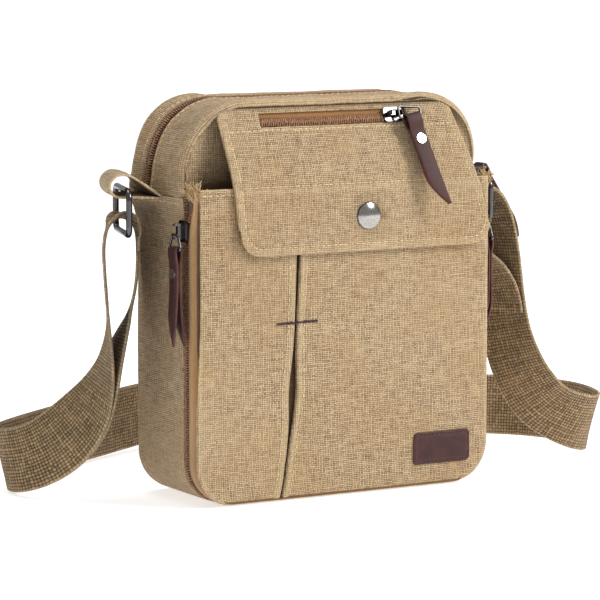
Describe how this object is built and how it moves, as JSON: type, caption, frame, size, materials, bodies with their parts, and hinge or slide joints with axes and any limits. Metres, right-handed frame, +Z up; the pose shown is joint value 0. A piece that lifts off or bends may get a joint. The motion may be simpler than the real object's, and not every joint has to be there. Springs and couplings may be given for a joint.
{
  "type": "messenger bag",
  "caption": "Small upright canvas messenger bag with a zipped front flap, side-zipped front pocket, arched top zip, leather pulls and an adjustable webbing shoulder strap.",
  "frame": {"origin": "centre of the main compartment's bottom face in width, on the surface that the bag stands on; the flap zip, the snap and the pocket are on the -Y side", "axes": "+X to the bag's side that is on the right as its front is looked at, +Y to its back, +Z up"},
  "size_m": [0.4136, 0.2437, 0.241],
  "materials": {
    "canvas": "washed cotton canvas, coarse plain weave",
    "facing": "smooth cotton twill tape",
    "lining": "plain woven lining",
    "webbing": "heavy cotton webbing, basket weave",
    "zip_tape": "woven zip tape",
    "zip_coil": "nylon coil with a copper-brown finish",
    "gunmetal": "polished gunmetal plating",
    "chrome": "bright nickel",
    "leather": "dark brown leather, light grain",
    "thread": "dark bar-tack thread"
  },
  "bodies": {
    "bag": {"back_panel": "canvas", "front_panel": "canvas", "lower_gusset": "canvas", "upper_gusset_front": "canvas", "upper_gusset_rear": "canvas", "main_zip_tapes": "zip_tape", "main_zip_chain": "zip_coil", "lining": "lining", "front_seam_binding": "lining", "back_seam_binding": "lining", "pocket_facing": "facing", "pocket_zip_tapes": "zip_tape", "pocket_zip_chain_left": "zip_coil", "pocket_zip_chain_right": "zip_coil", "pocket_panel_left": "canvas", "pocket_panel_right": "canvas", "pleat_underlay": "canvas", "bar_tack": "thread", "label_patch": "leather", "snap_stud": "gunmetal", "ring_tab_left": "canvas", "ring_tab_right": "canvas", "strap_right_run": "webbing", "strap_left_outer": "webbing", "strap_left_return": "webbing", "strap_adjuster": "gunmetal"},
    "flap": {"flap_outer": "canvas", "flap_lining": "lining", "flap_zip_tape": "zip_tape", "flap_zip_chain": "zip_coil", "snap_cap": "chrome", "snap_socket": "gunmetal"},
    "ring_left": {"ring_left": "gunmetal"},
    "ring_right": {"ring_right": "gunmetal"},
    "left_slider": {"left_zip_slider": "gunmetal"},
    "left_link": {"left_zip_link": "gunmetal"},
    "left_tab": {"left_zip_tab": "leather", "left_zip_rivet": "chrome"},
    "right_slider": {"right_zip_slider": "gunmetal"},
    "right_link": {"right_zip_link": "gunmetal"},
    "right_tab": {"right_zip_tab": "leather", "right_zip_rivet": "chrome"},
    "main_slider": {"main_zip_slider": "gunmetal"},
    "main_link": {"main_zip_link": "gunmetal"},
    "main_tab": {"main_zip_tab": "leather", "main_zip_rivet": "chrome"},
    "flap_slider": {"flap_zip_slider": "gunmetal"},
    "flap_link": {"flap_zip_link": "gunmetal"},
    "flap_tab": {"flap_zip_tab": "leather", "flap_zip_rivet": "chrome"}
  },
  "joints": [
    {"name": "flap_hinge", "type": "hinge", "parent": "bag", "child": "flap", "pos_m": [0, -0.02465, 0.23645], "axis": [-1, 0, 0], "range_deg": [0, 110]},
    {"name": "ring_left_swing", "type": "hinge", "parent": "bag", "child": "ring_left", "pos_m": [-0.1235, 0.016, 0.188], "axis": [0.2924, 0.9563, 0], "range_deg": [-20, 60], "deforming": ["strap_left_outer", "strap_left_return"]},
    {"name": "ring_right_swing", "type": "hinge", "parent": "bag", "child": "ring_right", "pos_m": [0.123, 0.016, 0.184], "axis": [0, -1, 0], "range_deg": [-20, 40], "deforming": ["strap_right_run"]},
    {"name": "left_zip_slide", "type": "slide", "parent": "bag", "child": "left_slider", "axis": [0, 0, -1], "range_m": [0, 0.12]},
    {"name": "left_link_swing", "type": "hinge", "parent": "left_slider", "child": "left_link", "pos_m": [-0.1092, -0.024, 0.1632], "axis": [0, 1, 0], "range_deg": [0, 90]},
    {"name": "left_tab_swing", "type": "hinge", "parent": "left_link", "child": "left_tab", "pos_m": [-0.1092, -0.024, 0.1542], "axis": [0, 1, 0], "range_deg": [0, 60]},
    {"name": "right_zip_slide", "type": "slide", "parent": "bag", "child": "right_slider", "axis": [0, 0, -1], "range_m": [0, 0.12]},
    {"name": "right_link_swing", "type": "hinge", "parent": "right_slider", "child": "right_link", "pos_m": [0.1092, -0.024, 0.1582], "axis": [0, -1, 0], "range_deg": [0, 90]},
    {"name": "right_tab_swing", "type": "hinge", "parent": "right_link", "child": "right_tab", "pos_m": [0.1092, -0.024, 0.1492], "axis": [0, -1, 0], "range_deg": [0, 60]},
    {"name": "main_zip_slide", "type": "hinge", "parent": "bag", "child": "main_slider", "pos_m": [0.0585, 0.018, 0.196], "axis": [0, -1, 0], "range_deg": [0, 90]},
    {"name": "main_link_swing", "type": "hinge", "parent": "main_slider", "child": "main_link", "pos_m": [0.1097, 0.018, 0.1904], "axis": [0, -1, 0], "range_deg": [0, 70]},
    {"name": "main_tab_swing", "type": "hinge", "parent": "main_link", "child": "main_tab", "pos_m": [0.1317, 0.018, 0.1904], "axis": [0, -1, 0], "range_deg": [0, 60]},
    {"name": "flap_zip_slide", "type": "slide", "parent": "flap", "child": "flap_slider", "axis": [-1, 0, 0], "range_m": [0, 0.08]},
    {"name": "flap_link_swing", "type": "hinge", "parent": "flap_slider", "child": "flap_link", "pos_m": [0.0393, -0.03321, 0.23097], "axis": [-0.0523, -0.3638, -0.93], "range_deg": [0, 75]},
    {"name": "flap_tab_swing", "type": "hinge", "parent": "flap_link", "child": "flap_tab", "pos_m": [0.04781, -0.03465, 0.22729], "axis": [-0.9833, -0.0664, -0.1697], "range_deg": [0, 100]}
  ]
}
